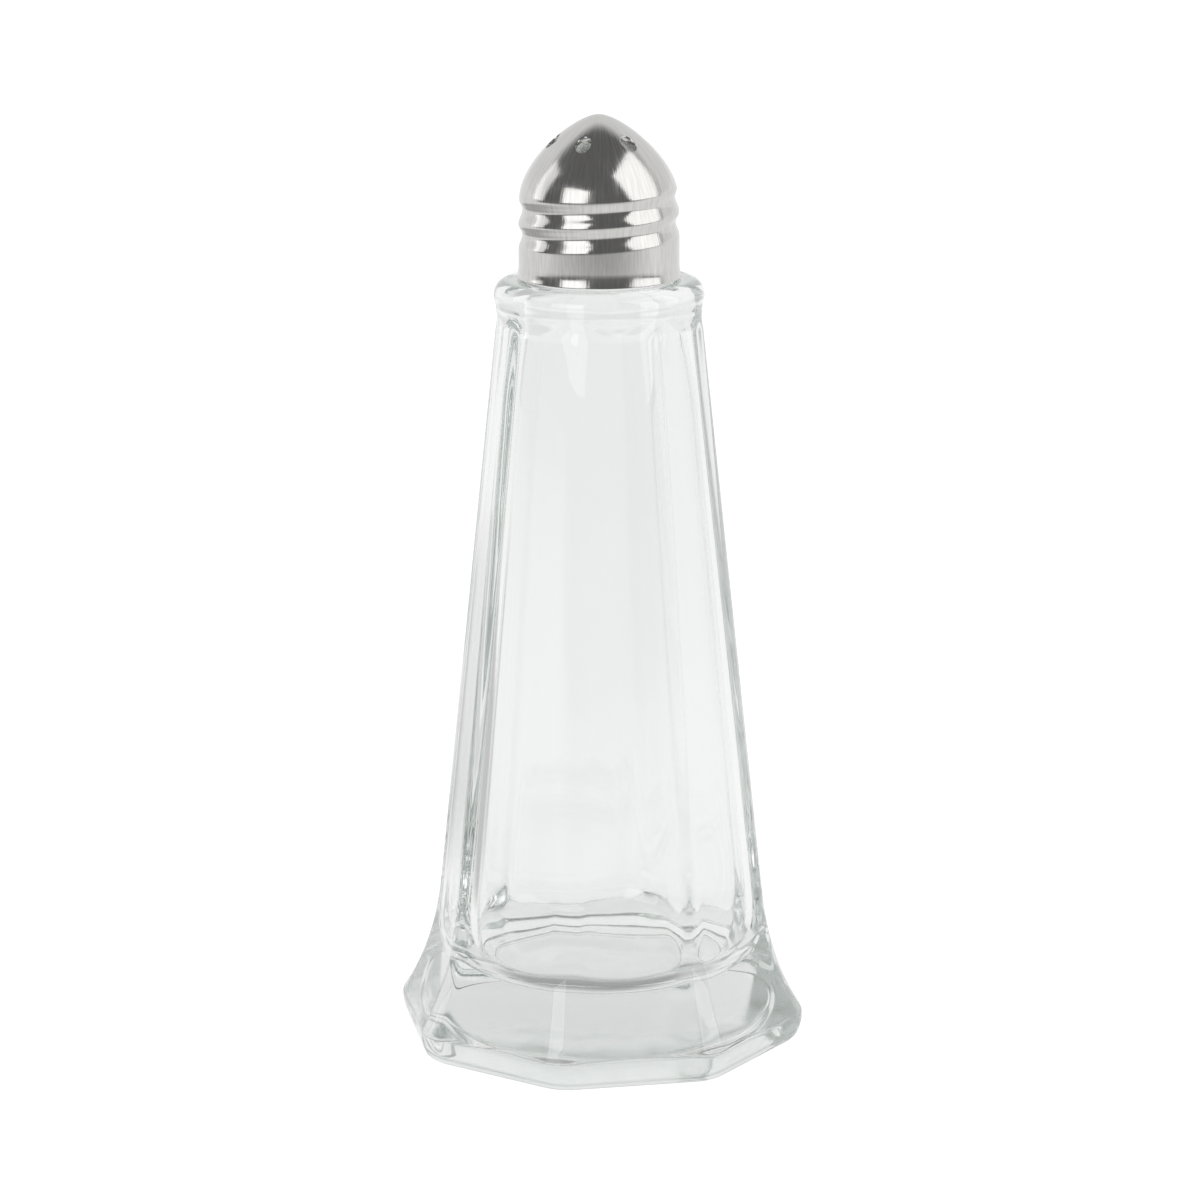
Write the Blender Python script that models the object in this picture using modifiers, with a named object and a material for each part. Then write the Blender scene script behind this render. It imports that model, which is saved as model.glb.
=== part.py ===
"""Tower salt shaker: an eight-sided mould-blown glass jar closed by a pressed-steel screw cap.

Metres, +Z up. The origin is the centre of the face that stands on the table.
"""
import math

import bmesh
import bpy
from mathutils import Matrix, Vector
from mathutils.geometry import interpolate_bezier

for leftover in list(bpy.data.objects):
    bpy.data.objects.remove(leftover)

# Foot and panels of the jar: widths across flats and heights above the table
SIDES = 8
RIM_FLATS = 0.0480
RIM_HEIGHT = 0.0033
RIM_ROUND = 0.0015
FOOT_UNDERCUT = 0.00165
FLARE_SLOPE = math.radians(32)
WAIST_FLATS = 0.0384
WAIST_HEIGHT = 0.0185
BASE_CORNER_ROUND = 0.00335
STAND_RING = 0.00575
DISH_STEP = 0.0005
DISH_DEPTH = 0.0006

# Neck, ledge, shoulder and collar of the jar
LEDGE_HEIGHT = 0.09515
LEDGE_MARGIN = 0.00097
NECK_RADIUS = 0.00835
NECK_LENGTH = 0.00885
NECK_FILLET = 0.0003
NECK_BEAD = 0.0006
NECK_BEAD_HEIGHT = 0.0022
LIP_WALL = 0.0025
LIP_ROUND = 0.0007
SHOULDER_ROUND = 0.00185
COLLAR_DROP = 0.0030
PANEL_STEP = 0.00115

# Inside of the jar: round at the floor and in the bore, eight-sided behind the panels.
# The corner is a share of the half width; the fades are the lengths over which the sides flatten.
WALL = 0.0025
INSIDE_CORNER = 0.30
FLOOR_HEIGHT = 0.0088
FLOOR_ROUND = 0.0045
FLOOR_FADE = 0.020
BORE_LENGTH = 0.0054
BORE_FADE = 0.010
INNER_SHOULDER = 0.0052
SHOULDER_BEND = 0.0016

# Screw cap: sheet, fit on the neck, lower edge, dome and pouring holes
SHEET = 0.00045
SEAT_GAP = 0.0003
THREAD_CLEARANCE = 0.00047
LIP_CLEARANCE = 0.0006
EDGE_FLARE = 0.00022
EDGE_BAND = 0.0016
DOME_HEIGHT = 0.0104
DOME_INSET = 0.00022
DOME_SHOULDER = 0.0028
TIP_FULLNESS = 0.0046
HOLE_COUNT = 6
HOLE_RING = 0.00545
HOLE_RADIUS = 0.00095

# Screw thread rolled into the skirt: one right-hand helical groove that climbs to the dome
PITCH = 0.0030
ROLL_DEPTH = 0.00045
ROLL_START = 0.0044
ROLL_TURNS = 2.03
ROLL_SKEW = 0.093
ROLL_START_ANGLE = math.radians(80)
ROLL_FADE_TURNS = 0.15

# Facets of round forms
TURN_STEPS = 48
FILLET_STEPS = 3
ARC_STEPS = 4
CURVE_STEPS = 8
INSIDE_STEPS = 14
DOME_STEPS = 14
ROLL_STEPS = 8
HOLE_STEPS = 16

# Sizes that follow from the ones above
BASE_FLATS = RIM_FLATS - 2 * FOOT_UNDERCUT
DISH_RADIUS = BASE_FLATS / 2 - STAND_RING
SKIRT_RADIUS = NECK_RADIUS + THREAD_CLEARANCE + SHEET + ROLL_DEPTH
LEDGE_RADIUS = SKIRT_RADIUS + EDGE_FLARE + LEDGE_MARGIN
COLLAR_RADIUS = LEDGE_RADIUS + SHOULDER_ROUND
COLLAR_HEIGHT = LEDGE_HEIGHT - SHOULDER_ROUND
MOUTH_RADIUS = NECK_RADIUS - LIP_WALL
MOUTH_HEIGHT = LEDGE_HEIGHT + NECK_LENGTH
BORE_END = MOUTH_HEIGHT - BORE_LENGTH
CAP_SEAT = LEDGE_HEIGHT + SEAT_GAP
SKIRT_LENGTH = NECK_LENGTH + LIP_CLEARANCE - SEAT_GAP

# Working allowances: how far a cutter passes a face, and how near two points are one
CLEAR = 0.001
MERGE = 0.00001


def arc(centre, radii, start, end, steps=ARC_STEPS):
    """Points of an elliptical arc about centre, from start to end in degrees, both ends included."""
    points = []
    for step in range(steps + 1):
        angle = math.radians(start + (end - start) * step / steps)
        points.append((centre[0] + radii[0] * math.cos(angle), centre[1] + radii[1] * math.sin(angle)))
    return points


def curve(start, start_handle, end_handle, end, steps=CURVE_STEPS):
    """Points of a cubic curve between two profile points, both ends included."""
    knots = [Vector((*point, 0)) for point in (start, start_handle, end_handle, end)]
    return [tuple(point.xy) for point in interpolate_bezier(*knots, steps + 1)]


def ease(share):
    """Smooth step from 0 to 1."""
    share = max(0, min(1, share))
    return share * share * (3 - 2 * share)


def panel_half_width(height):
    """Distance from the axis to a flat panel at a height, on the straight taper."""
    top = COLLAR_RADIUS - PANEL_STEP
    waist = WAIST_FLATS / 2
    return waist + (top - waist) * (height - WAIST_HEIGHT) / (COLLAR_HEIGHT - WAIST_HEIGHT)


def material(name, colour, roughness, metallic, transmission=0.0):
    """Principled surface of one piece."""
    surface = bpy.data.materials.new(name)
    surface.use_nodes = True
    shader = surface.node_tree.nodes["Principled BSDF"]
    shader.inputs["Base Color"].default_value = (*colour, 1)
    shader.inputs["Roughness"].default_value = roughness
    shader.inputs["Metallic"].default_value = metallic
    shader.inputs["Transmission Weight"].default_value = transmission
    return surface


def mesh_object(name, bm, collection):
    """Object that takes over a finished bmesh."""
    mesh = bpy.data.meshes.new(name)
    bm.to_mesh(mesh)
    bm.free()
    piece = bpy.data.objects.new(name, mesh)
    collection.objects.link(piece)
    return piece


def outline(profile):
    """Profile of (radius, height) points as a chain of edges on the +X side."""
    bm = bmesh.new()
    points = [bm.verts.new((radius, 0, height)) for radius, height in profile]
    for upper, lower in zip(points, points[1:]):
        bm.edges.new((upper, lower))
    return bm


def spun(profile):
    """Profile turned once about the axis, with its seam and poles closed."""
    bm = outline(profile)
    bmesh.ops.spin(bm, geom=bm.verts[:] + bm.edges[:], cent=(0, 0, 0), axis=(0, 0, 1), angle=math.tau,
                   steps=TURN_STEPS, use_merge=True)
    bmesh.ops.remove_doubles(bm, verts=bm.verts, dist=MERGE)
    return bm


def turned(name, profile, collection):
    """Solid of revolution: the profile runs down its outer side from the axis back to the axis."""
    piece = mesh_object(name, outline(profile), collection)
    screw = piece.modifiers.new("Turn", "SCREW")
    screw.axis = "Z"
    screw.steps = TURN_STEPS
    screw.render_steps = TURN_STEPS
    screw.use_merge_vertices = True
    screw.merge_threshold = MERGE
    return piece


def combine(piece, tool, operation):
    """Boolean with a tool that stays in the scene as a wire."""
    boolean = piece.modifiers.new(tool.name, "BOOLEAN")
    boolean.operation = operation
    boolean.solver = "EXACT"
    boolean.object = tool
    tool.hide_render = True
    tool.display_type = "WIRE"


def tower_levels():
    """Half widths and heights of the eight-sided body, from the table up into the collar."""
    base, rim = BASE_FLATS / 2, RIM_FLATS / 2
    under_rim = arc((base, RIM_HEIGHT), (rim - base, RIM_HEIGHT), -90, 0)
    over_rim = arc((rim - RIM_ROUND, RIM_HEIGHT), (RIM_ROUND, RIM_ROUND), 0, math.degrees(FLARE_SLOPE),
                   FILLET_STEPS)
    lip, waist = Vector(over_rim[-1]), Vector((WAIST_FLATS / 2, WAIST_HEIGHT))
    collar = Vector((panel_half_width(COLLAR_HEIGHT), COLLAR_HEIGHT))
    reach = (waist - lip).length / 3
    flare_direction = Vector((-math.sin(FLARE_SLOPE), math.cos(FLARE_SLOPE)))
    panel_direction = (collar - waist).normalized()
    flare = curve(lip, lip + reach * flare_direction, waist - reach * panel_direction, waist)
    return under_rim + over_rim[1:] + flare[1:] + [tuple(collar)]


def tower(collection):
    """Rounded octagon drawn up through its levels: the foot, its flare and the tapered panels."""
    levels = tower_levels()
    half_angle = math.pi / SIDES
    bm = bmesh.new()
    bmesh.ops.create_circle(bm, cap_ends=True, segments=SIDES, radius=levels[0][0] / math.cos(half_angle),
                            matrix=Matrix.Rotation(half_angle, 4, "Z"))
    bmesh.ops.bevel(bm, geom=bm.verts[:], offset=BASE_CORNER_ROUND * math.tan(half_angle),
                    segments=FILLET_STEPS, profile=0.5, affect="VERTICES", material=-1)
    loop = bm.edges[:]
    for (width, low), (next_width, high) in zip(levels, levels[1:]):
        drawn = bmesh.ops.extrude_edge_only(bm, edges=loop)["geom"]
        loop = [item for item in drawn if isinstance(item, bmesh.types.BMEdge) and item.is_boundary]
        raised = [item for item in drawn if isinstance(item, bmesh.types.BMVert)]
        growth = next_width / width
        bmesh.ops.scale(bm, vec=(growth, growth, 1), verts=raised)
        bmesh.ops.translate(bm, vec=(0, 0, high - low), verts=raised)
    bmesh.ops.edgeloop_fill(bm, edges=loop)
    bmesh.ops.recalc_face_normals(bm, faces=bm.faces)
    return mesh_object("glass_body", bm, collection)


def neck_profile():
    """Neck, the bead at its root, ledge, shoulder and the collar that fades into the panels."""
    lip = arc((NECK_RADIUS - LIP_ROUND, MOUTH_HEIGHT - LIP_ROUND), (LIP_ROUND, LIP_ROUND), 90, 0)
    bead_radius = NECK_RADIUS + NECK_BEAD
    ring = arc((NECK_RADIUS, LEDGE_HEIGHT + NECK_BEAD_HEIGHT - NECK_BEAD), (NECK_BEAD, NECK_BEAD), 90, 0,
               FILLET_STEPS)
    root = arc((bead_radius + NECK_FILLET, LEDGE_HEIGHT + NECK_FILLET), (NECK_FILLET, NECK_FILLET), 180, 270,
               FILLET_STEPS)
    shoulder = arc((LEDGE_RADIUS, COLLAR_HEIGHT), (SHOULDER_ROUND, SHOULDER_ROUND), 90, 0, CURVE_STEPS)
    bead = arc((COLLAR_RADIUS - PANEL_STEP, COLLAR_HEIGHT), (PANEL_STEP, COLLAR_DROP), 0, -90, CURVE_STEPS)
    hidden_end = (0, COLLAR_HEIGHT - COLLAR_DROP)
    return [(0, MOUTH_HEIGHT)] + lip + ring + root + shoulder + bead[1:] + [hidden_end]


def cavity_profile():
    """Bore of the neck, the inner shoulder, and a taper that keeps the wall behind the panels."""
    top = MOUTH_HEIGHT + CLEAR
    mouth_edge = MOUTH_RADIUS + LIP_ROUND
    mouth = arc((mouth_edge, MOUTH_HEIGHT - LIP_ROUND), (LIP_ROUND, LIP_ROUND), 90, 180)
    body_top = BORE_END - INNER_SHOULDER
    body_radius = panel_half_width(body_top) - WALL
    shoulder = curve((MOUTH_RADIUS, BORE_END), (MOUTH_RADIUS, BORE_END - SHOULDER_BEND),
                     (body_radius, body_top + SHOULDER_BEND), (body_radius, body_top))
    round_top = FLOOR_HEIGHT + FLOOR_ROUND
    side = []
    for step in range(1, INSIDE_STEPS):
        height = body_top + (round_top - body_top) * step / INSIDE_STEPS
        side.append((panel_half_width(height) - WALL, height))
    floor_radius = panel_half_width(round_top) - WALL
    floor = arc((floor_radius - FLOOR_ROUND, round_top), (FLOOR_ROUND, FLOOR_ROUND), 0, -90, CURVE_STEPS)
    return [(0, top), (mouth_edge, top)] + mouth + shoulder + side + floor + [(0, FLOOR_HEIGHT)]


def inside_reach(angle):
    """Distance from the axis to the inside at an angle, for a half width of 1 between round corners."""
    half_angle = math.pi / SIDES
    from_flat = abs((angle + half_angle) % (2 * half_angle) - half_angle)
    centre = (1 - INSIDE_CORNER) / math.cos(half_angle)
    if math.tan(from_flat) <= centre * math.sin(half_angle):
        return 1 / math.cos(from_flat)
    along = centre * math.cos(half_angle - from_flat)
    aside = centre * math.sin(half_angle - from_flat)
    return along + math.sqrt(INSIDE_CORNER ** 2 - aside ** 2)


def cavity(tools):
    """Inside of the jar, blown out against the eight sides of the mould."""
    bm = spun(cavity_profile())
    for vert in bm.verts:
        height = vert.co.z
        flattened = ease((BORE_END - height) / BORE_FADE) * ease((height - FLOOR_HEIGHT) / FLOOR_FADE)
        vert.co.xy *= 1 + (inside_reach(math.atan2(vert.co.y, vert.co.x)) - 1) * flattened
    bmesh.ops.recalc_face_normals(bm, faces=bm.faces)
    return mesh_object("cavity", bm, tools)


def dish_profile():
    """Shallow hollow under the foot with a stepped edge, so that the jar stands on a ring."""
    crown = DISH_RADIUS - DISH_STEP
    rows = []
    for step in range(ARC_STEPS):
        share = step / ARC_STEPS
        rows.append((crown * share, DISH_DEPTH - (DISH_DEPTH - DISH_STEP) * share ** 2))
    edge = arc((crown, 0), (DISH_STEP, DISH_STEP), 90, 0, FILLET_STEPS)
    return rows + edge + [(DISH_RADIUS, -CLEAR), (0, -CLEAR)]


def glass_body(parts, tools):
    """Mould-blown glass jar."""
    jar = tower(parts)
    combine(jar, turned("neck_blank", neck_profile(), tools), "UNION")
    combine(jar, cavity(tools), "DIFFERENCE")
    combine(jar, turned("foot_dish", dish_profile(), tools), "DIFFERENCE")
    jar.data.materials.append(material("clear_glass", (0.93, 0.95, 0.94), 0.02, 0.0, transmission=1.0))
    return jar


def cap_profile():
    """Outer face of the sheet from the tip of the dome to the lower edge of the skirt, above the seat."""
    dome_radius = SKIRT_RADIUS - DOME_INSET
    tip = SKIRT_LENGTH + DOME_HEIGHT
    dome = curve((0, tip), (TIP_FULLNESS, tip), (dome_radius, SKIRT_LENGTH + DOME_SHOULDER),
                 (dome_radius, SKIRT_LENGTH), DOME_STEPS)
    roll_rows = math.ceil((SKIRT_LENGTH - EDGE_BAND) / PITCH * ROLL_STEPS)
    skirt = []
    for row in range(1, roll_rows + 1):
        height = SKIRT_LENGTH + (EDGE_BAND - SKIRT_LENGTH) * row / roll_rows
        blend = min(1, (SKIRT_LENGTH - height) / PITCH)
        skirt.append((dome_radius + DOME_INSET * blend, height))
    edge = []
    for row in range(1, FILLET_STEPS + 1):
        share = row / FILLET_STEPS
        edge.append((SKIRT_RADIUS + EDGE_FLARE * share ** 2, EDGE_BAND * (1 - share)))
    return dome + skirt + edge


def roll_depth(angle, height):
    """How far the thread roller has pressed the sheet in; the side above the groove is the steeper one."""
    turn = (height - ROLL_START) / PITCH
    phase = (angle - ROLL_START_ANGLE) / math.tau % 1
    nearest = round(turn - phase + ROLL_SKEW) + phase
    offset = turn - nearest
    reach = 0.5 - ROLL_SKEW if offset > 0 else 0.5 + ROLL_SKEW
    along = min(nearest, ROLL_TURNS - nearest) / ROLL_FADE_TURNS
    fade = max(0, min(1, along))
    return ROLL_DEPTH * fade * (0.5 + 0.5 * math.cos(math.pi * offset / reach))


def screw_cap(parts, tools):
    """Pressed-steel cap, seated on the ledge of the neck."""
    bm = spun(cap_profile())
    for vert in bm.verts:
        radius = vert.co.xy.length
        if radius > MERGE and vert.co.z >= EDGE_BAND:
            vert.co.xy *= 1 - roll_depth(math.atan2(vert.co.y, vert.co.x), vert.co.z) / radius
    bmesh.ops.recalc_face_normals(bm, faces=bm.faces)
    cap = mesh_object("screw_cap", bm, parts)
    cap.location.z = CAP_SEAT
    shell = cap.modifiers.new("Sheet", "SOLIDIFY")
    shell.thickness = SHEET
    shell.offset = -1
    shell.use_even_offset = True
    combine(cap, pouring_holes(tools), "DIFFERENCE")
    cap.data.materials.append(material("stainless_steel", (0.68, 0.68, 0.67), 0.22, 1.0))
    return cap


def pouring_holes(tools):
    """Punches for a ring of holes, driven straight down through the dome."""
    low = CAP_SEAT + SKIRT_LENGTH
    length = DOME_HEIGHT + CLEAR
    bm = bmesh.new()
    for index in range(HOLE_COUNT):
        angle = math.tau * index / HOLE_COUNT
        centre = Vector((HOLE_RING * math.cos(angle), HOLE_RING * math.sin(angle), low + length / 2))
        bmesh.ops.create_cone(bm, cap_ends=True, segments=HOLE_STEPS, radius1=HOLE_RADIUS,
                              radius2=HOLE_RADIUS, depth=length, matrix=Matrix.Translation(centre))
    return mesh_object("pouring_holes", bm, tools)


parts_collection = bpy.data.collections.new("salt_shaker")
tools_collection = bpy.data.collections.new("salt_shaker_cutters")
bpy.context.scene.collection.children.link(parts_collection)
bpy.context.scene.collection.children.link(tools_collection)

for node in (glass_body(parts_collection, tools_collection), screw_cap(parts_collection, tools_collection)):
    node.data.shade_smooth()
    node.data.set_sharp_from_angle(angle=math.radians(35))
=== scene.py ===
"""Tower salt shaker, dressed: a blown-glass jar and a rolled steel screw cap on a white sweep.

Sizes are in metres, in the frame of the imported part.
"""
import math

import bmesh
import bpy
from mathutils import Matrix, Vector
from mathutils.geometry import interpolate_bezier


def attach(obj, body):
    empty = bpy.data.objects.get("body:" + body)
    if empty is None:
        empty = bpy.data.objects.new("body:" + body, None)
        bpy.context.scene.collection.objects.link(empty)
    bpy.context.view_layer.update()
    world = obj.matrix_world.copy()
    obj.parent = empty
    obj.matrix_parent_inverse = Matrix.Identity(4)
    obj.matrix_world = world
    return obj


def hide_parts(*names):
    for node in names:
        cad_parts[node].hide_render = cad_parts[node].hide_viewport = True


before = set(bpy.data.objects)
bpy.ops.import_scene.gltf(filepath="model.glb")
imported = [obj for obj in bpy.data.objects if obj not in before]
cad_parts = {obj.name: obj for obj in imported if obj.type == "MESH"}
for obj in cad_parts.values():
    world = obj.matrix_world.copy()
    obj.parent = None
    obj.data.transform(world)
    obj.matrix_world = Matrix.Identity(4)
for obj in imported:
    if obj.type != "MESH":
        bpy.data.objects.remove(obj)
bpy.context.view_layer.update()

# Glass jar: one piece of clear soda-lime glass, blown in an eight-sided mould and fire polished. The inside
# follows the panels down to a round floor, and the foot under it is solid and stands on a ring. The collar
# carries a neck with a screw thread, which the cap turns onto and hides.
SIDES = 8
CORNER_ROUND = 0.22  # share of the half width
BASE_HALF = 0.02235
RIM_HALF = 0.0240
WAIST_HALF = 0.0192
RIM_HEIGHT = 0.0033
WAIST_HEIGHT = 0.0185
RIM_ROUND = 0.0015
FLARE_SLOPE = math.radians(32)
LIP_STEPS = 4
DISH_RADIUS = 0.0166
DISH_STEP = 0.0005
DISH_DEPTH = 0.0006
DISH_STEPS = 16
COLLAR_RADIUS = 0.01276
COLLAR_HEIGHT = 0.0933
COLLAR_DROP = 0.0016
COLLAR_SWELL = 0.00024
PANEL_FADE = 0.0026
PANEL_STEP = 0.00115
LEDGE_RADIUS = 0.01091
LEDGE_HEIGHT = 0.09515
ROOT_RADIUS = 0.00895
ROOT_HEIGHT = 0.09735
ROOT_ROUND = 0.0003
NECK_RADIUS = 0.00835
MOUTH_HEIGHT = 0.1040
MOUTH_RADIUS = 0.00585
LIP_ROUND = 0.0007
THREAD_PITCH = 0.0030
THREAD_RISE = 0.00040
THREAD_START = 0.0985
THREAD_START_ANGLE = math.radians(40)
THREAD_TURNS = 1.3
THREAD_FADE = 0.12  # turns
THREAD_WIDTH = 0.36  # share of the pitch
WALL = 0.0025
FLOOR_HEIGHT = 0.0088
FLOOR_ROUND = 0.0045
INSIDE_ROUND = 0.30  # share of the half width
INSIDE_FADE = 0.018
FLOOR_FADE = 0.010
BORE_END = 0.0986
INNER_SHOULDER = 0.0052
SHOULDER_BEND = 0.0016
JAR_STEPS = 256
CORNER_CROWD = 0.6  # how much closer the points stand at the corners
MERGE = 0.000002

half_side = math.pi / SIDES


def octagon_reach(angle, corner_round):
    """Distance from the axis to the side, at an angle, of an octagon of half width 1 with rounded corners."""
    from_flat = abs((angle + half_side) % (2 * half_side) - half_side)
    centre = (1 - corner_round) / math.cos(half_side)
    if math.tan(from_flat) <= centre * math.sin(half_side):
        return 1 / math.cos(from_flat)
    from_corner = half_side - from_flat
    off_centre = centre * math.sin(from_corner)
    return centre * math.cos(from_corner) + math.sqrt(corner_round ** 2 - off_centre ** 2)


corner_reach = octagon_reach(half_side, CORNER_ROUND)


def panel_half(height):
    """Half width across the flats on the straight taper."""
    share = (height - WAIST_HEIGHT) / (COLLAR_HEIGHT - WAIST_HEIGHT)
    return WAIST_HALF + (COLLAR_RADIUS - PANEL_STEP - WAIST_HALF) * share


def ease(value, start, end):
    """Smooth step from 0 at the start to 1 at the end."""
    share = max(0, min(1, (value - start) / (end - start)))
    return share * share * (3 - 2 * share)


def collar_bead(height):
    """Radius of the round neck-in under the collar and of the bead that swells out of it."""
    return COLLAR_RADIUS - COLLAR_SWELL * (1 - ease(height, COLLAR_HEIGHT - COLLAR_DROP, COLLAR_HEIGHT))


def thread_place(angle, height, start, start_angle, pitch, skew=0.0):
    """Turn of a right-hand screw line that passes nearest to a place, and how far off it is, in turns."""
    turn = (height - start) / pitch
    phase = (angle - start_angle) / math.tau % 1
    nearest = round(turn - phase + skew) + phase
    return nearest, turn - nearest


def draw_chain(bm, points):
    """Chain of edges through (radius, height) points on the +X side."""
    chain = [bm.verts.new((radius, 0, height)) for radius, height in points]
    for lower, upper in zip(chain, chain[1:]):
        bm.edges.new((lower, upper))
    return chain


def round_corner(bm, corner, radius, segments):
    """Round one corner of a chain to a radius."""
    arms = [edge.other_vert(corner).co - corner.co for edge in corner.link_edges]
    turn = math.pi - arms[0].angle(arms[1])
    bmesh.ops.bevel(bm, geom=[corner], offset=radius * math.tan(turn / 2), affect="VERTICES",
                    segments=segments, profile=0.5, material=-1)


def turn_chain(bm, steps):
    """Turn every chain in the bmesh once about the axis and close the seam and the poles."""
    bmesh.ops.spin(bm, geom=bm.verts[:] + bm.edges[:], cent=(0, 0, 0), axis=(0, 0, 1), angle=math.tau,
                   steps=steps, use_merge=True)
    bmesh.ops.remove_doubles(bm, verts=bm.verts, dist=MERGE)


def bezier(start, start_handle, end_handle, end, steps):
    """Points of a cubic curve between two profile points."""
    knots = [Vector((*point, 0)) for point in (start, start_handle, end_handle, end)]
    return [tuple(point.xy) for point in interpolate_bezier(*knots, steps + 1)]


def rows_between(start, end, count):
    """Evenly spaced profile points after the start, up to and including the end."""
    return [tuple(Vector(start).lerp(Vector(end), step / count)) for step in range(1, count + 1)]


def quarter(centre, radii, start, steps):
    """Points of a quarter ellipse about a centre, anticlockwise from a start in degrees, ends included."""
    angles = [math.radians(start + 90 * step / steps) for step in range(steps + 1)]
    return [(centre[0] + radii[0] * math.cos(angle), centre[1] + radii[1] * math.sin(angle))
            for angle in angles]


def press_out(bm, new_radius):
    """Crowd the turned points toward the eight corners and give each a new distance from the axis."""
    for vert in bm.verts:
        angle = math.atan2(vert.co.y, vert.co.x)
        angle += CORNER_CROWD * math.sin(SIDES * angle) / SIDES
        radius = new_radius(angle, vert.co.xy.length, vert.co.z)
        vert.co.x, vert.co.y = radius * math.cos(angle), radius * math.sin(angle)


def join_into(bm, other):
    """Move the faces of another bmesh into this one."""
    carrier = bpy.data.meshes.new("carrier")
    other.to_mesh(carrier)
    other.free()
    bm.from_mesh(carrier)
    bpy.data.meshes.remove(carrier)


def piece_from(bm, name, surface):
    """Smooth-shaded object that takes over a finished bmesh."""
    bmesh.ops.recalc_face_normals(bm, faces=bm.faces)
    mesh = bpy.data.meshes.new(name)
    bm.to_mesh(mesh)
    bm.free()
    mesh.shade_smooth()
    mesh.materials.append(surface)
    piece = bpy.data.objects.new(name, mesh)
    bpy.context.scene.collection.objects.link(piece)
    return piece


# outside, from the standing ring to the ledge, drawn through the corners of the octagon
under_rim = quarter((BASE_HALF, RIM_HEIGHT), (RIM_HALF - BASE_HALF, RIM_HEIGHT), start=-90, steps=8)
lip_angles = [FLARE_SLOPE * step / LIP_STEPS for step in range(1, LIP_STEPS + 1)]
lip_turn = [(RIM_HALF - RIM_ROUND * (1 - math.cos(angle)), RIM_HEIGHT + RIM_ROUND * math.sin(angle))
            for angle in lip_angles]
lip, waist = Vector(lip_turn[-1]), Vector((WAIST_HALF, WAIST_HEIGHT))
reach = (waist - lip).length / 3
taper = Vector((panel_half(COLLAR_HEIGHT) - WAIST_HALF, COLLAR_HEIGHT - WAIST_HEIGHT)).normalized()
flare_way = Vector((-math.sin(FLARE_SLOPE), math.cos(FLARE_SLOPE)))
flare = bezier(lip, lip + reach * flare_way, waist - reach * taper, waist, steps=18)
bead_foot = COLLAR_HEIGHT - COLLAR_DROP - PANEL_FADE
panel_rows = rows_between(waist, (panel_half(bead_foot), bead_foot), count=26)
sides = [(half * corner_reach, height) for half, height in under_rim + lip_turn + flare[1:] + panel_rows]
ring_rows = [(DISH_RADIUS, 0)] + rows_between((DISH_RADIUS, 0), sides[0], count=6)
bead_rows = rows_between((COLLAR_RADIUS, bead_foot), (COLLAR_RADIUS, COLLAR_HEIGHT), count=30)
shoulder_radii = (COLLAR_RADIUS - LEDGE_RADIUS, LEDGE_HEIGHT - COLLAR_HEIGHT)
shoulder_rows = quarter((LEDGE_RADIUS, COLLAR_HEIGHT), shoulder_radii, start=0, steps=12)


def outside_radius(angle, radius, height):
    """Eight-sided up to the collar and round from there; the standing ring is round at its inner edge."""
    side = octagon_reach(angle, CORNER_ROUND) / corner_reach
    if height < MERGE:
        return radius * (1 - (radius - DISH_RADIUS) / (sides[0][0] - DISH_RADIUS) * (1 - side))
    if height <= bead_foot + MERGE:
        return radius * side
    if height < COLLAR_HEIGHT - MERGE:
        panel, bead = panel_half(height) * corner_reach * side, collar_bead(height)
        return panel + (bead - panel) * ease(height, bead_foot, COLLAR_HEIGHT - COLLAR_DROP)
    return radius


jar_skin = bmesh.new()
draw_chain(jar_skin, ring_rows + sides[1:] + bead_rows + shoulder_rows[1:])
turn_chain(jar_skin, JAR_STEPS)
press_out(jar_skin, outside_radius)

# hollow under the foot, with a stepped edge; it stays round, and its points meet those of the ring
hollow = bmesh.new()
crown = DISH_RADIUS - DISH_STEP
crown_shares = [1 - step / DISH_STEPS for step in range(1, DISH_STEPS + 1)]
crown_rows = [(crown * share, DISH_DEPTH - (DISH_DEPTH - DISH_STEP) * share ** 2) for share in crown_shares]
draw_chain(hollow, quarter((crown, 0), (DISH_STEP, DISH_STEP), start=0, steps=6) + crown_rows)
turn_chain(hollow, JAR_STEPS)
press_out(hollow, lambda angle, radius, height: radius)
join_into(jar_skin, hollow)


def threaded_radius(angle, radius, height):
    """Neck with its screw thread standing out."""
    if radius < NECK_RADIUS - MERGE or height < ROOT_HEIGHT + MERGE:
        return radius
    nearest, offset = thread_place(angle, height, THREAD_START, THREAD_START_ANGLE, THREAD_PITCH)
    fade = ease(min(nearest, THREAD_TURNS - nearest), 0, THREAD_FADE)
    crest = 0.5 + 0.5 * math.cos(math.pi * min(1, abs(offset) / THREAD_WIDTH))
    return radius + THREAD_RISE * fade * crest


# ledge, the bead at the root of the neck, the neck and its bore
neck = bmesh.new()
neck_low, neck_high = ROOT_HEIGHT + ROOT_ROUND, MOUTH_HEIGHT - LIP_ROUND
root_rows = [(LEDGE_RADIUS, LEDGE_HEIGHT), (ROOT_RADIUS, LEDGE_HEIGHT), (ROOT_RADIUS, ROOT_HEIGHT),
             (NECK_RADIUS, ROOT_HEIGHT), (NECK_RADIUS, neck_low)]
neck_rows = rows_between((NECK_RADIUS, neck_low), (NECK_RADIUS, neck_high), count=54)
mouth_rows = [(NECK_RADIUS, MOUTH_HEIGHT), (MOUTH_RADIUS, MOUTH_HEIGHT), (MOUTH_RADIUS, BORE_END)]
chain = draw_chain(neck, root_rows + neck_rows + mouth_rows)
for corner, rounding in ((chain[-2], LIP_ROUND), (chain[-3], LIP_ROUND),
                         (chain[2], ROOT_ROUND), (chain[1], ROOT_ROUND)):
    round_corner(neck, corner, rounding, segments=6)
turn_chain(neck, JAR_STEPS)
press_out(neck, threaded_radius)
join_into(jar_skin, neck)

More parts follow.
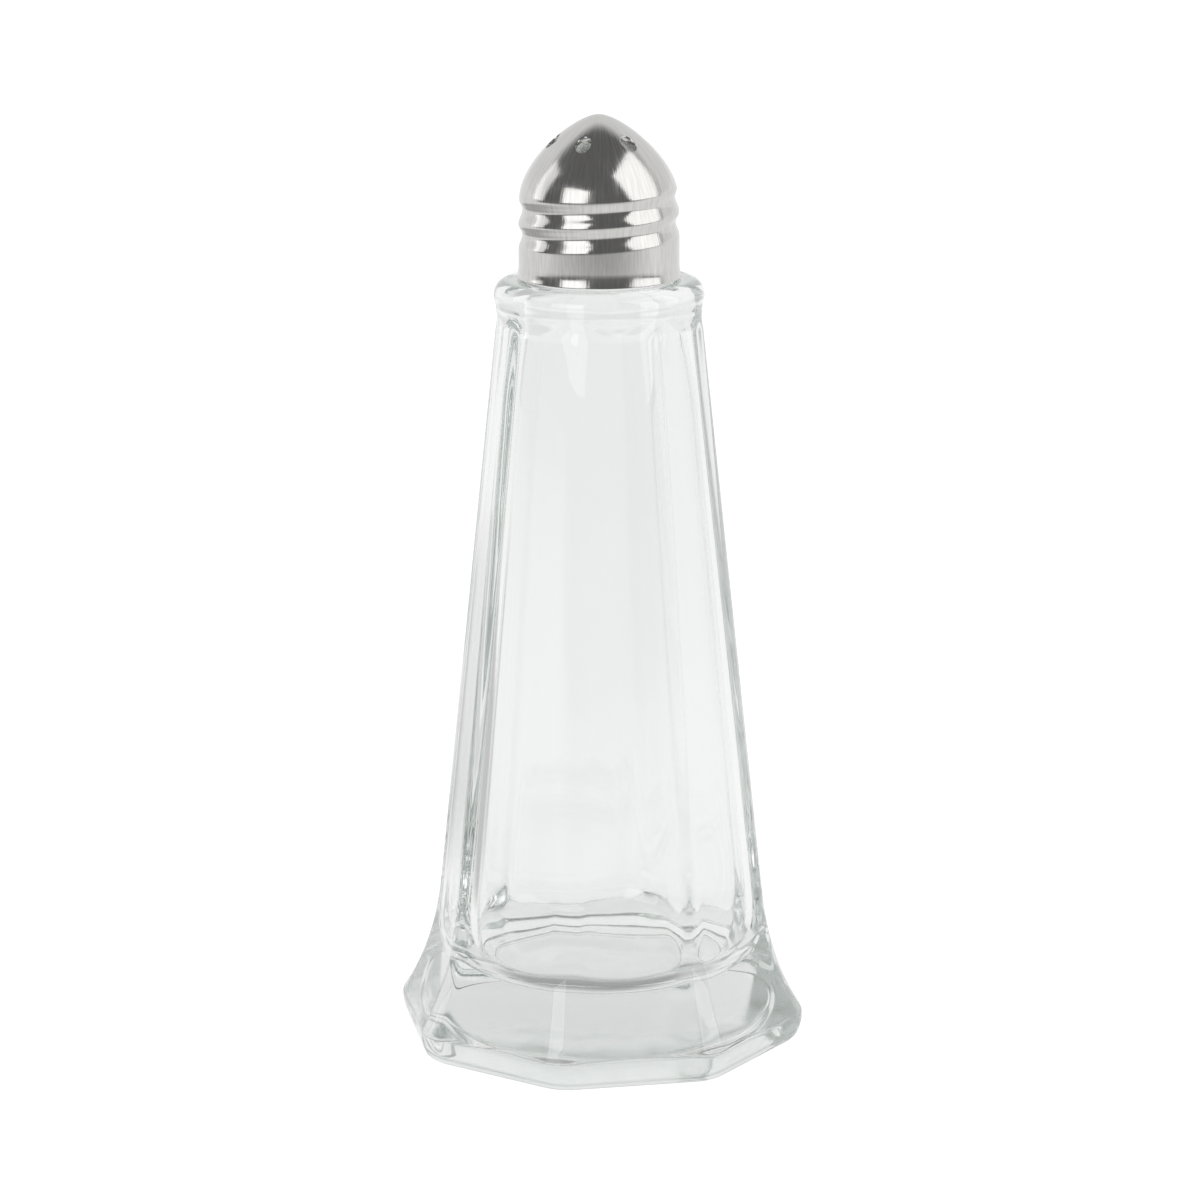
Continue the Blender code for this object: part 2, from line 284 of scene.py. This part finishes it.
# inside, from the bore down to the floor
body_top = BORE_END - INNER_SHOULDER
body_radius = panel_half(body_top) - WALL
round_top = FLOOR_HEIGHT + FLOOR_ROUND
floor_radius = panel_half(round_top) - WALL
inner_shoulder = bezier((MOUTH_RADIUS, BORE_END), (MOUTH_RADIUS, BORE_END - SHOULDER_BEND),
                        (body_radius, body_top + SHOULDER_BEND), (body_radius, body_top), steps=20)
inner_rows = rows_between((body_radius, body_top), (floor_radius, round_top), count=40)
floor_turn = quarter((floor_radius - FLOOR_ROUND, round_top), (FLOOR_ROUND, -FLOOR_ROUND),
                     start=0, steps=16)
floor_rows = rows_between(floor_turn[-1], (0, FLOOR_HEIGHT), count=8)


def inside_radius(angle, radius, height):
    """Eight-sided behind the panels, round at the floor and in the bore."""
    below_bore = 1 - ease(height, BORE_END - INSIDE_FADE, BORE_END)
    above_floor = ease(height, FLOOR_HEIGHT, FLOOR_HEIGHT + FLOOR_FADE)
    return radius * (1 + (octagon_reach(angle, INSIDE_ROUND) - 1) * (below_bore * above_floor))


inside = bmesh.new()
draw_chain(inside, inner_shoulder + inner_rows + floor_turn[1:] + floor_rows)
turn_chain(inside, JAR_STEPS)
press_out(inside, inside_radius)
join_into(jar_skin, inside)
bmesh.ops.remove_doubles(jar_skin, verts=jar_skin.verts, dist=MERGE)

GLASS_IOR = 1.52
DEPTH_TINT = (0.60, 0.66, 0.63, 1)
TINT_DENSITY = 9
GLASS_TINTS = ((0.975, 0.982, 0.979), (0.961, 0.970, 0.965))
HAZE = (0.0, 0.02)
SATIN = (0.10, 0.18)
SATIN_TOP = (0.0012, 0.0016)
WAVE_HEIGHT = 0.00003


def feed(tree, source, socket):
    """Link a value that varies into a socket, or set a plain one on it."""
    if isinstance(source, bpy.types.NodeSocket):
        tree.links.new(source, socket)
    else:
        socket.default_value = source


def noise_of(tree, place, scale, detail):
    """Noise value at a place, from 0 to 1."""
    speckle = tree.nodes.new("ShaderNodeTexNoise")
    speckle.inputs["Scale"].default_value = scale
    speckle.inputs["Detail"].default_value = detail
    tree.links.new(place, speckle.inputs["Vector"])
    return speckle.outputs["Fac"]


def mapped(tree, value, from_range, to_range, smooth=False):
    """Value brought from one range to another and held inside it, evenly or by a smooth step."""
    ranged = tree.nodes.new("ShaderNodeMapRange")
    ranged.interpolation_type = "SMOOTHSTEP" if smooth else "LINEAR"
    for socket, level in zip(("From Min", "From Max", "To Min", "To Max"), from_range + to_range):
        feed(tree, level, ranged.inputs[socket])
    tree.links.new(value, ranged.inputs["Value"])
    return ranged.outputs["Result"]


def combined(tree, operation, first, second):
    """Two values put together by one step of arithmetic."""
    step = tree.nodes.new("ShaderNodeMath")
    step.operation = operation
    feed(tree, first, step.inputs[0])
    feed(tree, second, step.inputs[1])
    return step.outputs["Value"]


def blended(tree, share, colours):
    """Colour between two, by a share."""
    mix = tree.nodes.new("ShaderNodeMix")
    mix.data_type = "RGBA"
    for socket, colour in zip(("A", "B"), colours):
        mix.inputs[socket].default_value = (*colour, 1)
    tree.links.new(share, mix.inputs["Factor"])
    return mix.outputs["Result"]


def bumped(tree, height, distance):
    """Normal of a surface whose height varies."""
    bump = tree.nodes.new("ShaderNodeBump")
    bump.inputs["Distance"].default_value = distance
    tree.links.new(height, bump.inputs["Height"])
    return bump.outputs["Normal"]


clear_glass = bpy.data.materials.new("clear_glass")
clear_glass.use_nodes = True
glass_tree = clear_glass.node_tree
glass = glass_tree.nodes["Principled BSDF"]
glass.inputs["IOR"].default_value = GLASS_IOR
glass.inputs["Transmission Weight"].default_value = 1.0
depth_tint = glass_tree.nodes.new("ShaderNodeVolumeAbsorption")
depth_tint.inputs["Color"].default_value = DEPTH_TINT
depth_tint.inputs["Density"].default_value = TINT_DENSITY
glass_tree.links.new(depth_tint.outputs["Volume"], glass_tree.nodes["Material Output"].inputs["Volume"])

# faint drift of the tint, dust-fine haze, a satin underside and the slow waves of blown glass
glass_place = glass_tree.nodes.new("ShaderNodeTexCoord").outputs["Object"]
level = glass_tree.nodes.new("ShaderNodeSeparateXYZ")
glass_tree.links.new(glass_place, level.inputs["Vector"])
drift = noise_of(glass_tree, glass_place, scale=45, detail=2)
haze = mapped(glass_tree, noise_of(glass_tree, glass_place, scale=160, detail=5), (0.5, 0.75), HAZE)
satin = mapped(glass_tree, noise_of(glass_tree, glass_place, scale=420, detail=2), (0.3, 0.7), SATIN)
near_table = mapped(glass_tree, level.outputs["Z"], SATIN_TOP, (1.0, 0.0))
dullness = combined(glass_tree, "MAXIMUM", haze, combined(glass_tree, "MULTIPLY", near_table, satin))
waves = noise_of(glass_tree, glass_place, scale=110, detail=1)
glass_tree.links.new(blended(glass_tree, drift, GLASS_TINTS), glass.inputs["Base Color"])
glass_tree.links.new(dullness, glass.inputs["Roughness"])
glass_tree.links.new(bumped(glass_tree, waves, WAVE_HEIGHT), glass.inputs["Normal"])

jar = piece_from(jar_skin, "blown_glass_jar", clear_glass)
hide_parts("glass_body")
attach(jar, "jar")

# Screw cap: one disc of stainless sheet, drawn to a pointed dome, punched with a ring of pouring holes and
# rolled with a two-turn thread. It screws onto the neck, and its cut lower edge flares a little and rests on
# the ledge of the jar.
SHEET = 0.00045
CAP_SEAT = 0.09545
SKIRT_LENGTH = 0.00915
SKIRT_RADIUS = 0.00972
EDGE_FLARE = 0.00022
EDGE_BAND = 0.0016
DOME_RADIUS = 0.00964
DOME_HEIGHT = 0.0104
DOME_SHOULDER = 0.0050
TIP_FULLNESS = 0.0027
HOLE_COUNT = 6
HOLE_RING = 0.00545
HOLE_RADIUS = 0.00095
ROLL_PITCH = 0.0030
ROLL_DEPTH = 0.00045
ROLL_START = 0.0044
ROLL_START_ANGLE = math.radians(80)
ROLL_TURNS = 2.03
ROLL_SKEW = 0.093  # turns
ROLL_FADE = 0.15  # turns
EDGE_ROUND = 0.0001
CAP_STEPS = 192
SKIRT_STEPS = 72
EDGE_STEPS = 8
PUNCH_LENGTH = 0.01
BRUSH_CHANGE = 8  # per metre down the side
BRUSH_DEPTH = 0.000008
STEEL_TINTS = ((0.58, 0.575, 0.56), (0.67, 0.665, 0.65))
BRUSHED = (0.08, 0.16)
SMUDGED = (0.0, 0.10)


def roll_depth(angle, height):
    """How far the thread roller has pressed the skirt in; the groove is steeper on its upper side."""
    nearest, offset = thread_place(angle, height, ROLL_START, ROLL_START_ANGLE, ROLL_PITCH, ROLL_SKEW)
    reach = 0.5 - ROLL_SKEW if offset > 0 else 0.5 + ROLL_SKEW
    fade = max(0, min(1, min(nearest, ROLL_TURNS - nearest) / ROLL_FADE))
    return ROLL_DEPTH * fade * (0.5 + 0.5 * math.cos(math.pi * offset / reach))


def vector_step(tree, operation, *terms):
    """One step of vector arithmetic, which ends in a vector or, for a dot product or a length, in a value."""
    step = tree.nodes.new("ShaderNodeVectorMath")
    step.operation = operation
    for term, socket in zip(terms, step.inputs):
        feed(tree, term, socket)
    return step.outputs["Value" if operation in ("DOT_PRODUCT", "LENGTH") else "Vector"]


stainless_steel = bpy.data.materials.new("stainless_steel")
stainless_steel.use_nodes = True
steel_tree = stainless_steel.node_tree
steel = steel_tree.nodes["Principled BSDF"]
steel.inputs["Metallic"].default_value = 1.0

# brushing that runs from the tip down the skirt, fine round the cap and long down its side, and smudges
steel_place = steel_tree.nodes.new("ShaderNodeTexCoord").outputs["Object"]
outward = vector_step(steel_tree, "NORMALIZE", vector_step(steel_tree, "MULTIPLY", steel_place, (1, 1, 0)))
drawn_out = vector_step(steel_tree, "MULTIPLY_ADD", steel_place, (0, 0, BRUSH_CHANGE), outward)
brushing = noise_of(steel_tree, drawn_out, scale=46, detail=6)
smudges = noise_of(steel_tree, steel_place, scale=260, detail=3)
streaks = mapped(steel_tree, brushing, (0.35, 0.65), (0.0, 1.0))
wear = combined(steel_tree, "ADD", mapped(steel_tree, brushing, (0.3, 0.7), BRUSHED),
                mapped(steel_tree, smudges, (0.45, 0.75), SMUDGED))
steel_tree.links.new(blended(steel_tree, streaks, STEEL_TINTS), steel.inputs["Base Color"])
steel_tree.links.new(wear, steel.inputs["Roughness"])
steel_tree.links.new(bumped(steel_tree, brushing, BRUSH_DEPTH), steel.inputs["Normal"])

# the disc, turned to the dome and skirt and pressed in along the thread
sheet = bmesh.new()
tip = SKIRT_LENGTH + DOME_HEIGHT
dome_rows = bezier((0, tip), (TIP_FULLNESS, tip), (DOME_RADIUS, SKIRT_LENGTH + DOME_SHOULDER),
                   (DOME_RADIUS, SKIRT_LENGTH), steps=40)
skirt_rows = []
for row in range(1, SKIRT_STEPS + 1):
    height = SKIRT_LENGTH + (EDGE_BAND - SKIRT_LENGTH) * row / SKIRT_STEPS
    blend = min(1, (SKIRT_LENGTH - height) / ROLL_PITCH)
    skirt_rows.append((DOME_RADIUS + (SKIRT_RADIUS - DOME_RADIUS) * blend, height))
edge_shares = [step / EDGE_STEPS for step in range(1, EDGE_STEPS + 1)]
edge_rows = [(SKIRT_RADIUS + EDGE_FLARE * share ** 2, EDGE_BAND * (1 - share)) for share in edge_shares]
draw_chain(sheet, dome_rows + skirt_rows + edge_rows)
turn_chain(sheet, CAP_STEPS)
for vert in sheet.verts:
    if vert.co.z >= EDGE_BAND and vert.co.xy.length > MERGE:
        pressed = roll_depth(math.atan2(vert.co.y, vert.co.x), vert.co.z)
        vert.co.xy *= 1 - pressed / vert.co.xy.length
bmesh.ops.translate(sheet, vec=(0, 0, CAP_SEAT), verts=sheet.verts)
cap = piece_from(sheet, "rolled_steel_cap", stainless_steel)

# its thickness, the punched holes and the softened cut edges
shell = cap.modifiers.new("Sheet", "SOLIDIFY")
shell.thickness = SHEET
shell.offset = -1
shell.use_even_offset = True
punch = bmesh.new()
punch_height = CAP_SEAT + SKIRT_LENGTH + PUNCH_LENGTH / 2
for index in range(HOLE_COUNT):
    angle = math.tau * index / HOLE_COUNT
    centre = Vector((HOLE_RING * math.cos(angle), HOLE_RING * math.sin(angle), punch_height))
    bmesh.ops.create_cone(punch, cap_ends=True, segments=40, radius1=HOLE_RADIUS, radius2=HOLE_RADIUS,
                          depth=PUNCH_LENGTH, matrix=Matrix.Translation(centre))
punches = piece_from(punch, "punches", stainless_steel)
punched = cap.modifiers.new("Holes", "BOOLEAN")
punched.solver = "EXACT"
punched.object = punches
rolled_in = cap.modifiers.new("Edges", "BEVEL")
rolled_in.width = EDGE_ROUND
rolled_in.segments = 2
rolled_in.limit_method = "ANGLE"
rolled_in.angle_limit = math.radians(50)
depsgraph = bpy.context.evaluated_depsgraph_get()
finished = bpy.data.meshes.new_from_object(cap.evaluated_get(depsgraph))
cap.modifiers.clear()
cap.data = finished
bpy.data.objects.remove(punches)
finished.shade_smooth()
finished.set_sharp_from_angle(angle=math.radians(40))
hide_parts("screw_cap")
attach(cap, "cap")

# White sweep: a sheet of white paper that the shaker stands on, laid flat to well past the view. To the eye
# it is plain white. In the glass and the steel it glows with painted light and painted shade: dimmer toward
# the camera, a painted shadow under the front of the foot, and painted shade on the left behind the jar, as
# far as the open floor.
FLOOR_RADIUS = 3.0
FLOOR_GAP = 0.00008
VIEW_TURN = math.radians(-10.5)
PAPER_GREY = (0.15, 0.15, 0.15, 1)
PAPER_ROUGHNESS = 0.9
PAPER_WHITE = 0.98
# reaches and levels of the painted shade that the paper shows in the glass and the steel
FRONT_REACH, FRONT_LEVELS = (-0.9, -0.1), (0.2, 0.845)
SHADOW_UNDER_REACH, SHADOW_UNDER_LEVELS = (-0.016, -0.006), (0.42, 0.95)
LEFT_REACH, LEFT_LEVELS = (-0.62, -0.25), (0.48, 1.0)
BEHIND_REACH = (-0.22, 0.06)
OPEN_REACH = (0.30, 0.42)
NEAR_REACH = (0.06, 0.14)
FOOT_REACH = (0.020, 0.028)
toward_back = Vector((-math.sin(VIEW_TURN), math.cos(VIEW_TURN), 0))
toward_right = Vector((math.cos(VIEW_TURN), math.sin(VIEW_TURN), 0))

white_paper = bpy.data.materials.new("white_paper")
white_paper.use_nodes = True
paper_tree = white_paper.node_tree
paper = paper_tree.nodes["Principled BSDF"]
paper.inputs["Base Color"].default_value = PAPER_GREY
paper.inputs["Roughness"].default_value = PAPER_ROUGHNESS
paper.inputs["Emission Color"].default_value = (1, 1, 1, 1)
rays = paper_tree.nodes.new("ShaderNodeLightPath")
floor_place = paper_tree.nodes.new("ShaderNodeTexCoord").outputs["Object"]
depth = vector_step(paper_tree, "DOT_PRODUCT", floor_place, toward_back)
across = vector_step(paper_tree, "DOT_PRODUCT", floor_place, toward_right)
around = vector_step(paper_tree, "LENGTH", floor_place)
aside = combined(paper_tree, "DIVIDE", across, around)
# painted shade: the paper grows dimmer toward the camera
painted_front_shade = mapped(paper_tree, depth, FRONT_REACH, FRONT_LEVELS)
# painted shadow of the foot on the paper, darkest under its front
painted_shadow_under_front = mapped(paper_tree, depth, SHADOW_UNDER_REACH, SHADOW_UNDER_LEVELS, smooth=True)
# painted shade on the paper to the left behind the jar, from a little way past the foot out to the open floor
left_shade = mapped(paper_tree, aside, LEFT_REACH, LEFT_LEVELS, smooth=True)
back_shade = mapped(paper_tree, depth, BEHIND_REACH, (1.0, left_shade), smooth=True)
open_floor = mapped(paper_tree, around, OPEN_REACH, (back_shade, 1.0), smooth=True)
far_shade = mapped(paper_tree, around, NEAR_REACH, (1.0, open_floor), smooth=True)
foot_shade = mapped(paper_tree, around, FOOT_REACH, (painted_shadow_under_front, far_shade), smooth=True)
# the paper glows with this painted light and shade only for rays from the glass and the steel; to the eye it
# is plain white
seen = combined(paper_tree, "MAXIMUM", rays.outputs["Is Glossy Ray"], rays.outputs["Is Transmission Ray"])
painted_glow = combined(paper_tree, "MULTIPLY", seen, combined(paper_tree, "MULTIPLY", painted_front_shade, foot_shade))
plain = combined(paper_tree, "MULTIPLY", rays.outputs["Is Camera Ray"], PAPER_WHITE)
paper_tree.links.new(combined(paper_tree, "MAXIMUM", painted_glow, plain), paper.inputs["Emission Strength"])

sweep = bmesh.new()
bmesh.ops.create_circle(sweep, cap_ends=True, segments=96, radius=FLOOR_RADIUS,
                        matrix=Matrix.Translation((0, 0, -FLOOR_GAP)))
floor = piece_from(sweep, "sweep", white_paper)

# Studio light: a white room behind the shaker, a little dimmer higher up, and a dark one behind the camera.
# Two softboxes stand in front of it, one to each side, and a narrow white card stands on its left.
ROOM_TILT = -0.23
ROOM_REACH, ROOM_LEVELS = (0.02, 0.25), (0.17, 0.97)
HIGH_REACH, HIGH_LEVELS = (0.10, 0.18), (1.0, 0.90)
LAMP_DISTANCE = 0.7
LAMP_AIM = Vector((0, 0, 0.07))
studio = bpy.data.worlds.new("studio")
bpy.context.scene.world = studio
studio.use_nodes = True
room_tree = studio.node_tree
background = room_tree.nodes["Background"]
background.inputs["Color"].default_value = (1, 1, 1, 1)
way = room_tree.nodes.new("ShaderNodeTexCoord").outputs["Generated"]
above = room_tree.nodes.new("ShaderNodeSeparateXYZ")
room_tree.links.new(way, above.inputs["Vector"])
room_back = (toward_back + Vector((0, 0, ROOM_TILT))).normalized()
behind = vector_step(room_tree, "DOT_PRODUCT", way, room_back)
room_fade = mapped(room_tree, behind, ROOM_REACH, ROOM_LEVELS)
high_fade = mapped(room_tree, above.outputs["Z"], HIGH_REACH, HIGH_LEVELS, smooth=True)
room = combined(room_tree, "MULTIPLY", room_fade, high_fade)
straight_on = room_tree.nodes.new("ShaderNodeLightPath").outputs["Is Camera Ray"]
room_tree.links.new(combined(room_tree, "MAXIMUM", room, straight_on), background.inputs["Strength"])


def softbox(name, turn, rise, width, tall, watts):
    """Rectangular lamp aimed at the shaker, turned to the camera's right and raised, in degrees."""
    lamp = bpy.data.lights.new(name, "AREA")
    lamp.shape = "RECTANGLE"
    lamp.size, lamp.size_y = width, tall
    lamp.energy = watts
    box = bpy.data.objects.new(name, lamp)
    bpy.context.scene.collection.objects.link(box)
    heading, lift = VIEW_TURN + math.radians(turn), math.radians(rise)
    toward_lamp = Vector((math.sin(heading) * math.cos(lift), -math.cos(heading) * math.cos(lift),
                          math.sin(lift)))
    box.location = LAMP_AIM + toward_lamp * LAMP_DISTANCE
    box.rotation_euler = toward_lamp.to_track_quat("Z", "Y").to_euler()
    box.visible_camera = False


softbox("softbox_left", turn=-36, rise=21, width=0.46, tall=0.40, watts=0.85)
softbox("softbox_right", turn=72, rise=32, width=0.66, tall=0.80, watts=2.2)
softbox("card_left", turn=-98, rise=26, width=0.26, tall=0.5, watts=0.36)

# Camera: a long lens on a stand about half a metre away, a little above the shaker and tilted down at it.
# It is turned from the middle of a panel as in the photograph. Light passes many walls of glass on its way
# to it, so paths may be long.
LENS = 128.43
SENSOR_WIDTH = 36
CAMERA_PLACE = (0, -0.51165, 0.17948)
CAMERA_TILT = 0.2384
CAMERA_ROLL = -0.0028
LIGHT_BOUNCES = 40
camera = bpy.data.objects.new("camera", bpy.data.cameras.new("camera"))
bpy.context.scene.collection.objects.link(camera)
camera.data.lens = LENS
camera.data.sensor_width = SENSOR_WIDTH
camera.data.clip_start = 0.01
camera.matrix_world = (Matrix.Rotation(VIEW_TURN, 4, "Z") @ Matrix.Translation(CAMERA_PLACE) @
                       Matrix.Rotation(math.pi / 2 - CAMERA_TILT, 4, "X") @
                       Matrix.Rotation(CAMERA_ROLL, 4, "Z"))
bpy.context.scene.camera = camera
bpy.context.scene.view_settings.view_transform = "Standard"
bpy.context.scene.cycles.max_bounces = LIGHT_BOUNCES
bpy.context.scene.cycles.glossy_bounces = LIGHT_BOUNCES
bpy.context.scene.cycles.transmission_bounces = LIGHT_BOUNCES
